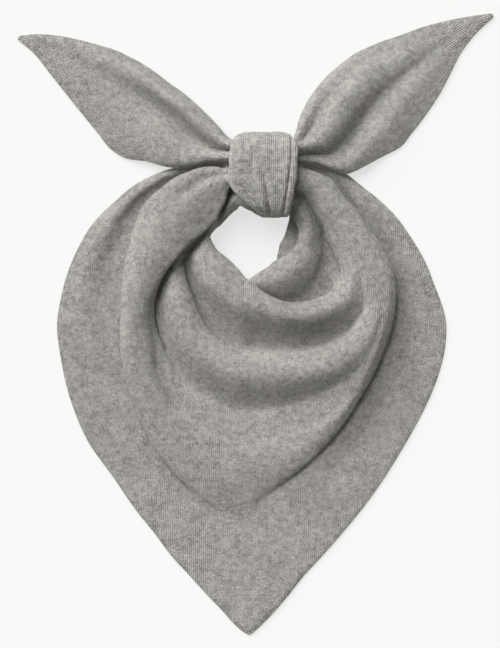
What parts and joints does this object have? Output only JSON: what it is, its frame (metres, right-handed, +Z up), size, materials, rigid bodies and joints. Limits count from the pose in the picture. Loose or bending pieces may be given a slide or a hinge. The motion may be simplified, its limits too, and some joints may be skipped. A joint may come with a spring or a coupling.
{
  "type": "neckerchief",
  "caption": "Triangular knitted neckerchief lying face up: a pleated neck loop with a pointed brim, gathered into one knot with two pointed tails.",
  "frame": {"origin": "on the supporting surface, under the middle of the bounding box", "axes": "+X to the right as seen from the front, +Y from the cloth's point to the tied ends, +Z up, out of the kerchief's face"},
  "size_m": [0.4276, 0.558, 0.042],
  "materials": {
    "drape_knit": "matt knitted wool",
    "tail_left_knit": "matt knitted wool",
    "tail_right_knit": "matt knitted wool",
    "knot_wrap_knit": "matt knitted wool",
    "knot_under_knit": "matt knitted wool"
  },
  "bodies": {
    "root": {"drape": "drape_knit", "tail_left": "tail_left_knit", "tail_right": "tail_right_knit", "knot_wrap": "knot_wrap_knit", "knot_under": "knot_under_knit"}
  },
  "joints": []
}
